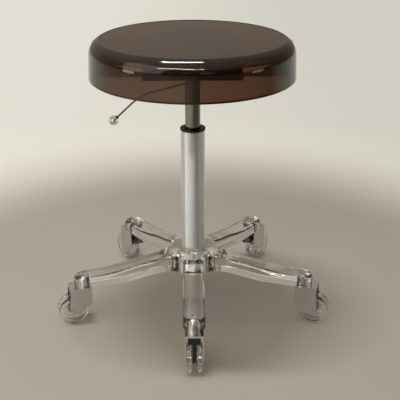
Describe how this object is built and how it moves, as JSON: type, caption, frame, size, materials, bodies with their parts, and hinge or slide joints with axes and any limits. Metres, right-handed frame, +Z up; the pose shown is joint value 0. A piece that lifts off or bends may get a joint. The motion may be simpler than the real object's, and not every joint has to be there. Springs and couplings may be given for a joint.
{
  "type": "rolling stool",
  "caption": "Height-adjustable rolling stool: round smoked seat with deep skirt, release lever, gas column and clear star base on twin-wheel casters.",
  "frame": {"origin": "on the floor, under the centre of the box around the stool; the column axis stands at x = 0, y = +0.022", "axes": "+Z up, +Y away from the viewer of the picture, +X to the viewer's right; the front arm points to -Y"},
  "size_m": [0.5226, 0.4973, 0.5309],
  "materials": {
    "smoked_plastic": "polished smoked brown acrylic, see-through",
    "clear_plastic": "polished clear acrylic, see-through",
    "column_metal": "satin",
    "chrome": "polished",
    "plain_steel": "bright zinc",
    "black_steel": "black powder coat",
    "black_plastic": "matt",
    "white_plastic": "plain bearing plastic",
    "brass": "plain"
  },
  "bodies": {
    "base": {"star_base": "clear_plastic", "column_tube": "column_metal", "column_collar": "black_plastic", "guide_bush": "white_plastic", "bearing_lower_race": "plain_steel", "bearing_cage": "brass", "caster_sleeve_front": "plain_steel", "caster_sleeve_right": "plain_steel", "caster_sleeve_back_right": "plain_steel", "caster_sleeve_back_left": "plain_steel", "caster_sleeve_left": "plain_steel"},
    "rod": {"piston_rod": "chrome", "piston": "plain_steel", "bearing_upper_race": "plain_steel", "rod_washer": "plain_steel", "rod_clip": "plain_steel"},
    "seat": {"seat_shell": "smoked_plastic", "seat_tray": "black_steel", "cylinder_socket": "black_steel", "tray_screws": "plain_steel", "tray_inserts": "brass", "pivot_pin": "plain_steel", "gas_cylinder": "chrome", "rod_guide": "black_plastic"},
    "lever": {"lever_rod": "chrome", "lever_tip": "chrome", "lever_knob": "clear_plastic"},
    "valve": {"valve_pin": "plain_steel"},
    "caster_front": {"caster_stem_front": "plain_steel", "caster_core_front": "black_plastic", "caster_hood_front": "chrome", "caster_axle_front": "plain_steel"},
    "wheel_a_front": {"caster_wheel_a_front": "clear_plastic"},
    "wheel_b_front": {"caster_wheel_b_front": "clear_plastic"},
    "caster_right": {"caster_stem_right": "plain_steel", "caster_core_right": "black_plastic", "caster_hood_right": "chrome", "caster_axle_right": "plain_steel"},
    "wheel_a_right": {"caster_wheel_a_right": "clear_plastic"},
    "wheel_b_right": {"caster_wheel_b_right": "clear_plastic"},
    "caster_back_right": {"caster_stem_back_right": "plain_steel", "caster_core_back_right": "black_plastic", "caster_hood_back_right": "chrome", "caster_axle_back_right": "plain_steel"},
    "wheel_a_back_right": {"caster_wheel_a_back_right": "clear_plastic"},
    "wheel_b_back_right": {"caster_wheel_b_back_right": "clear_plastic"},
    "caster_back_left": {"caster_stem_back_left": "plain_steel", "caster_core_back_left": "black_plastic", "caster_hood_back_left": "chrome", "caster_axle_back_left": "plain_steel"},
    "wheel_a_back_left": {"caster_wheel_a_back_left": "clear_plastic"},
    "wheel_b_back_left": {"caster_wheel_b_back_left": "clear_plastic"},
    "caster_left": {"caster_stem_left": "plain_steel", "caster_core_left": "black_plastic", "caster_hood_left": "chrome", "caster_axle_left": "plain_steel"},
    "wheel_a_left": {"caster_wheel_a_left": "clear_plastic"},
    "wheel_b_left": {"caster_wheel_b_left": "clear_plastic"}
  },
  "joints": [
    {"name": "seat_swivel", "type": "hinge", "parent": "base", "child": "rod", "pos_m": [0, 0.022, 0.08], "axis": [0, 0, 1], "continuous": true},
    {"name": "seat_lift", "type": "slide", "parent": "rod", "child": "seat", "axis": [0, 0, 1], "range_m": [-0.085, 0.035]},
    {"name": "lever_pull", "type": "hinge", "parent": "seat", "child": "lever", "pos_m": [-0.009, 0.028, 0.5083], "axis": [0, 1, 0], "range_deg": [0, 8], "stiffness_Nm_per_rad": 0.3},
    {"name": "valve_press", "type": "slide", "parent": "seat", "child": "valve", "axis": [0, 0, 1], "range_m": [-0.0015, 0]},
    {"name": "caster_swivel_front", "type": "hinge", "parent": "base", "child": "caster_front", "pos_m": [0, -0.1955, 0.075], "axis": [0, 0, 1], "continuous": true},
    {"name": "wheel_spin_a_front", "type": "hinge", "parent": "caster_front", "child": "wheel_a_front", "pos_m": [0, -0.2215, 0.0275], "axis": [1, 0, 0], "continuous": true},
    {"name": "wheel_spin_b_front", "type": "hinge", "parent": "caster_front", "child": "wheel_b_front", "pos_m": [0, -0.2215, 0.0275], "axis": [1, 0, 0], "continuous": true},
    {"name": "caster_swivel_right", "type": "hinge", "parent": "base", "child": "caster_right", "pos_m": [0.20686, -0.04521, 0.075], "axis": [0, 0, 1], "continuous": true},
    {"name": "wheel_spin_a_right", "type": "hinge", "parent": "caster_right", "child": "wheel_a_right", "pos_m": [0.23158, -0.05325, 0.0275], "axis": [0.309, 0.9511, 0], "continuous": true},
    {"name": "wheel_spin_b_right", "type": "hinge", "parent": "caster_right", "child": "wheel_b_right", "pos_m": [0.23158, -0.05325, 0.0275], "axis": [0.309, 0.9511, 0], "continuous": true},
    {"name": "caster_swivel_back_right", "type": "hinge", "parent": "base", "child": "caster_back_right", "pos_m": [0.12784, 0.19796, 0.075], "axis": [0, 0, 1], "continuous": true},
    {"name": "wheel_spin_a_back_right", "type": "hinge", "parent": "caster_back_right", "child": "wheel_a_back_right", "pos_m": [0.14313, 0.219, 0.0275], "axis": [-0.809, 0.5878, 0], "continuous": true},
    {"name": "wheel_spin_b_back_right", "type": "hinge", "parent": "caster_back_right", "child": "wheel_b_back_right", "pos_m": [0.14313, 0.219, 0.0275], "axis": [-0.809, 0.5878, 0], "continuous": true},
    {"name": "caster_swivel_back_left", "type": "hinge", "parent": "base", "child": "caster_back_left", "pos_m": [-0.12784, 0.19796, 0.075], "axis": [0, 0, 1], "continuous": true},
    {"name": "wheel_spin_a_back_left", "type": "hinge", "parent": "caster_back_left", "child": "wheel_a_back_left", "pos_m": [-0.14313, 0.219, 0.0275], "axis": [-0.809, -0.5878, 0], "continuous": true},
    {"name": "wheel_spin_b_back_left", "type": "hinge", "parent": "caster_back_left", "child": "wheel_b_back_left", "pos_m": [-0.14313, 0.219, 0.0275], "axis": [-0.809, -0.5878, 0], "continuous": true},
    {"name": "caster_swivel_left", "type": "hinge", "parent": "base", "child": "caster_left", "pos_m": [-0.20686, -0.04521, 0.075], "axis": [0, 0, 1], "continuous": true},
    {"name": "wheel_spin_a_left", "type": "hinge", "parent": "caster_left", "child": "wheel_a_left", "pos_m": [-0.23158, -0.05325, 0.0275], "axis": [0.309, -0.9511, 0], "continuous": true},
    {"name": "wheel_spin_b_left", "type": "hinge", "parent": "caster_left", "child": "wheel_b_left", "pos_m": [-0.23158, -0.05325, 0.0275], "axis": [0.309, -0.9511, 0], "continuous": true}
  ],
  "couplings": [
    {"joint": "valve_press", "follows": "lever_pull", "m_per_rad": -0.009}
  ]
}
